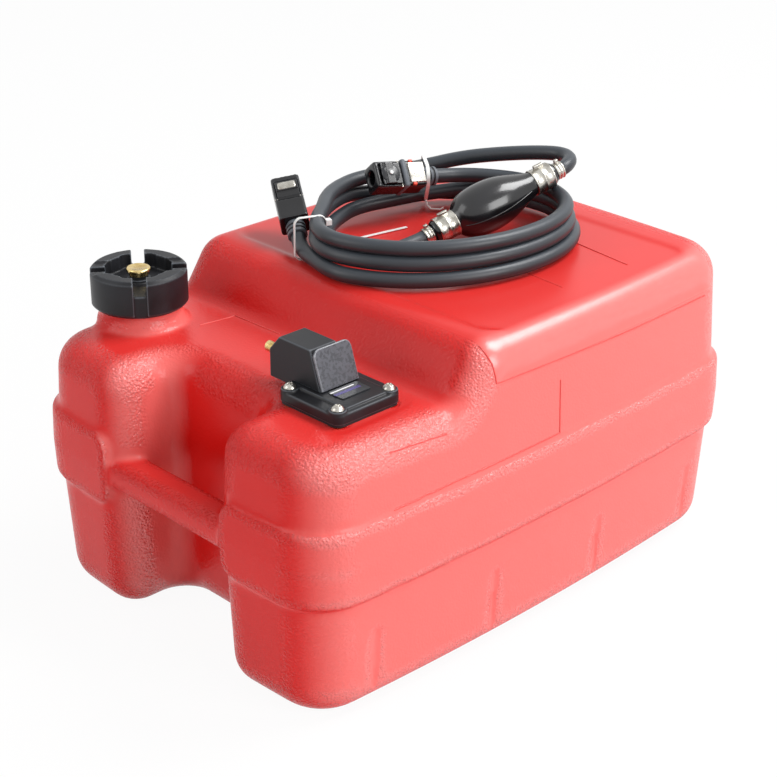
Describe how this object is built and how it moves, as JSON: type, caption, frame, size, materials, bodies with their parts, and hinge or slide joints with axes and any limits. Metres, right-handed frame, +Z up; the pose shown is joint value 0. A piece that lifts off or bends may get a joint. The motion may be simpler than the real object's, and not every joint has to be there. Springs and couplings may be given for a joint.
{
  "type": "outboard fuel tank",
  "caption": "Portable red plastic fuel tank with a carrying handle, vented screw cap, float level gauge, and a coiled fuel line with a primer bulb and quick connectors.",
  "frame": {"origin": "middle of the tank footprint, at the ground", "axes": "+Z up, -Y towards the handle, +X towards the gauge side"},
  "size_m": [0.34, 0.4741, 0.3047],
  "materials": {
    "tank_plastic": "red polyethylene with a fine pebbled grain and smooth glossy panels",
    "black_plastic": "black moulded plastic, satin",
    "black_gloss": "black plastic, glossy",
    "dark_lens": "dark clear plastic",
    "white_plastic": "natural nylon",
    "rubber": "black seal rubber",
    "hose_rubber": "dark grey fuel hose, satin",
    "bulb_rubber": "black glossy rubber",
    "steel": "stainless steel",
    "brass": "brass",
    "aluminium": "drawn aluminium"
  },
  "bodies": {
    "tank": {"bottom_bracket": "black_plastic", "bulb_clamps": "steel", "bulb_inlet_fitting": "black_plastic", "bulb_inlet_hose": "hose_rubber", "bulb_outlet_fitting": "black_plastic", "bulb_outlet_hose": "hose_rubber", "cable_tie_front": "white_plastic", "cable_tie_rear": "white_plastic", "engine_end_body": "black_gloss", "engine_end_ferrule": "black_plastic", "engine_end_hose": "hose_rubber", "engine_end_latch_pin": "steel", "engine_end_seal": "rubber", "gauge_base": "black_plastic", "gauge_gasket": "rubber", "gauge_hood": "black_plastic", "gauge_lens": "dark_lens", "gauge_screws": "steel", "guide_rod": "steel", "hose_clamps": "steel", "inlet_hose_coil": "hose_rubber", "outlet_elbow": "black_plastic", "outlet_hose_coil": "hose_rubber", "outlet_nipple": "brass", "outlet_o_ring": "rubber", "pick_up_strainer": "brass", "pick_up_tube": "aluminium", "primer_bulb": "bulb_rubber", "scale_plate": "black_gloss", "tank_body": "tank_plastic", "tank_end_body": "black_gloss", "tank_end_ferrule": "black_plastic", "tank_end_hose": "hose_rubber", "tank_end_latch_pin": "steel", "tank_end_seal": "rubber", "tank_inserts": "brass"},
    "cap_gasket": {"cap_gasket": "rubber"},
    "filler_cap": {"filler_cap": "black_plastic"},
    "vent_seal": {"vent_seal": "rubber"},
    "vent_screw": {"vent_screw": "brass"},
    "float": {"float": "black_plastic", "float_slot_plate": "brass"},
    "indicator": {"twisted_strip": "aluminium", "indicator_drum": "white_plastic"},
    "tank_latch": {"tank_end_latch": "steel"},
    "engine_latch": {"engine_end_latch": "steel"},
    "inlet_ball": {"bulb_inlet_ball": "steel"},
    "outlet_ball": {"bulb_outlet_ball": "steel"}
  },
  "joints": [
    {"name": "cap_lift", "type": "slide", "parent": "tank", "child": "cap_gasket", "axis": [0, 0, 1], "range_m": [0, 0.01]},
    {"name": "cap_turn", "type": "hinge", "parent": "cap_gasket", "child": "filler_cap", "pos_m": [-0.126, -0.152, 0.24], "axis": [0, 0, 1], "range_deg": [0, 721]},
    {"name": "vent_lift", "type": "slide", "parent": "filler_cap", "child": "vent_seal", "axis": [0, 0, 1], "range_m": [0, 0.002]},
    {"name": "vent_turn", "type": "hinge", "parent": "vent_seal", "child": "vent_screw", "pos_m": [-0.126, -0.152, 0.248], "axis": [0, 0, 1], "range_deg": [0, 721]},
    {"name": "float_rise", "type": "slide", "parent": "tank", "child": "float", "axis": [0, 0, 1], "range_m": [0, 0.14]},
    {"name": "indicator_turn", "type": "hinge", "parent": "tank", "child": "indicator", "pos_m": [0.076, -0.134, 0.1], "axis": [0, 0, 1], "range_deg": [-220, 0]},
    {"name": "tank_latch_press", "type": "hinge", "parent": "tank", "child": "tank_latch", "pos_m": [-0.0975, -0.02262, 0.28221], "axis": [-0.5768, -0.8011, -0.1602], "range_deg": [0, 5], "stiffness_Nm_per_rad": 0.5, "springref_deg": -5.73},
    {"name": "engine_latch_press", "type": "hinge", "parent": "tank", "child": "engine_latch", "pos_m": [-0.06531, 0.06886, 0.2887], "axis": [0.5885, -0.2637, -0.7643], "range_deg": [0, 5], "stiffness_Nm_per_rad": 0.5, "springref_deg": -5.73},
    {"name": "inlet_ball_lift", "type": "slide", "parent": "tank", "child": "inlet_ball", "axis": [0.2913, 0.9092, 0.2974], "range_m": [0, 0.002]},
    {"name": "outlet_ball_lift", "type": "slide", "parent": "tank", "child": "outlet_ball", "axis": [0.2913, 0.9092, 0.2974], "range_m": [0, 0.002]}
  ],
  "couplings": [
    {"joint": "cap_turn", "follows": "cap_lift", "rad_per_m": 1256.6},
    {"joint": "vent_turn", "follows": "vent_lift", "rad_per_m": 6283.2},
    {"joint": "indicator_turn", "follows": "float_rise", "rad_per_m": -27.334}
  ]
}
